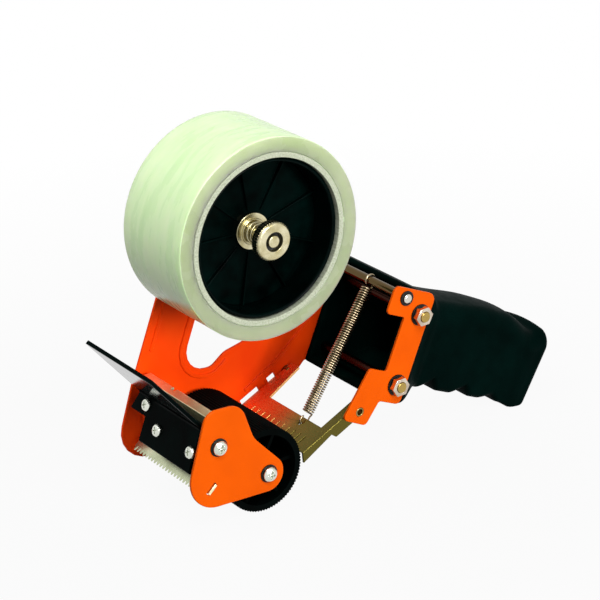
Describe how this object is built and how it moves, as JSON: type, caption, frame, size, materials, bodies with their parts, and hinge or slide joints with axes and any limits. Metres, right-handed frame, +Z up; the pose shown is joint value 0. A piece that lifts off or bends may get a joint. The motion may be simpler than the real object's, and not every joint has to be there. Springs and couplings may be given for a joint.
{
  "type": "handheld tape dispenser",
  "caption": "Handheld packing tape dispenser: one-sided steel frame, sprung tape brake on the hub, grooved roller, sprung gate, toothed cutter with wiper flap and a hollow moulded grip.",
  "frame": {"origin": "on the surface it stands on, directly under the roller axle and midway across the tape", "axes": "+X from the nose to the grip, +Y across the tape towards the main side plate, +Z up"},
  "size_m": [0.2399, 0.0717, 0.1789],
  "materials": {
    "main_frame": "gloss red-orange paint",
    "nose_plate": "gloss orange paint",
    "handle_bracket": "gloss orange paint",
    "handle": "satin black moulding",
    "handle_bolts": "bright zinc",
    "handle_nuts": "bright zinc",
    "nut_washers": "black",
    "spring_rod": "yellow zinc",
    "rod_clips": "black",
    "gate_pins": "yellow zinc, hollow rivets",
    "gate_plate": "yellow zinc",
    "gate_spring": "drawn wire",
    "roller": "finely grooved black moulding",
    "roller_axle": "turned",
    "tie_rod": "turned",
    "side_screws": "bright zinc pan heads",
    "side_washers": "black",
    "blade_carrier": "pale yellow zinc",
    "cutter_blade": "sharpened sheet",
    "blade_guard": "black moulding",
    "guard_screws": "bright zinc pan heads",
    "wiper_flap": "flexible black sheet",
    "spindle": "turned",
    "spindle_nut": "zinc",
    "thrust_washer": "dark",
    "hub": "gloss black moulding",
    "hub_web": "gloss black moulding",
    "brake_washer": "pale plated",
    "brake_spring": "drawn wire",
    "spring_washer": "pale plated",
    "brake_nut": "pale plated, knurled",
    "tape_core": "matt grey card",
    "tape_film": "wound clear film"
  },
  "bodies": {
    "frame": {"main_frame": "main_frame", "nose_plate": "nose_plate", "handle_bracket": "handle_bracket", "handle": "handle", "handle_bolts": "handle_bolts", "handle_nuts": "handle_nuts", "nut_washers": "nut_washers", "spring_rod": "spring_rod", "rod_clips": "rod_clips", "gate_pins": "gate_pins", "gate_spring": "gate_spring", "roller_axle": "roller_axle", "tie_rod": "tie_rod", "side_screws": "side_screws", "side_washers": "side_washers", "blade_carrier": "blade_carrier", "cutter_blade": "cutter_blade", "blade_guard": "blade_guard", "guard_screws": "guard_screws", "spindle": "spindle", "spindle_nut": "spindle_nut", "thrust_washer": "thrust_washer", "brake_washer": "brake_washer", "brake_spring": "brake_spring"},
    "hub": {"hub": "hub", "hub_web": "hub_web"},
    "tape": {"tape_core": "tape_core", "tape_film": "tape_film"},
    "roller": {"roller": "roller"},
    "gate": {"gate_plate": "gate_plate"},
    "brake_seat": {"spring_washer": "spring_washer"},
    "brake_knob": {"brake_nut": "brake_nut"},
    "flap": {"wiper_flap": "wiper_flap"}
  },
  "joints": [
    {"name": "hub_spin", "type": "hinge", "parent": "frame", "child": "hub", "pos_m": [0.0136, 0, 0.1311], "axis": [0, 1, 0], "continuous": true},
    {"name": "roll_removal", "type": "slide", "parent": "hub", "child": "tape", "axis": [0, -1, 0], "range_m": [0, 0.06]},
    {"name": "roller_spin", "type": "hinge", "parent": "frame", "child": "roller", "pos_m": [0, 0, 0.0208], "axis": [0, 1, 0], "continuous": true},
    {"name": "gate_hinge", "type": "hinge", "parent": "frame", "child": "gate", "pos_m": [0.0533, 0, 0.0347], "axis": [0, -1, 0], "range_deg": [0, 22], "stiffness_Nm_per_rad": 0.075, "springref_deg": -28.65, "deforming": ["gate_spring"]},
    {"name": "brake_seat_slide", "type": "slide", "parent": "frame", "child": "brake_seat", "axis": [0, -1, 0], "range_m": [-0.0008, 0.0016], "deforming": ["brake_spring"]},
    {"name": "brake_nut_turn", "type": "hinge", "parent": "brake_seat", "child": "brake_knob", "pos_m": [0.0136, 0, 0.1311], "axis": [0, -1, 0], "range_deg": [-361, 721]},
    {"name": "flap_bend", "type": "hinge", "parent": "frame", "child": "flap", "pos_m": [-0.03145, 0, 0.0533], "axis": [0, 1, 0], "range_deg": [-8, 8], "stiffness_Nm_per_rad": 0.065}
  ],
  "couplings": [
    {"joint": "brake_nut_turn", "follows": "brake_seat_slide", "rad_per_m": 7854}
  ]
}
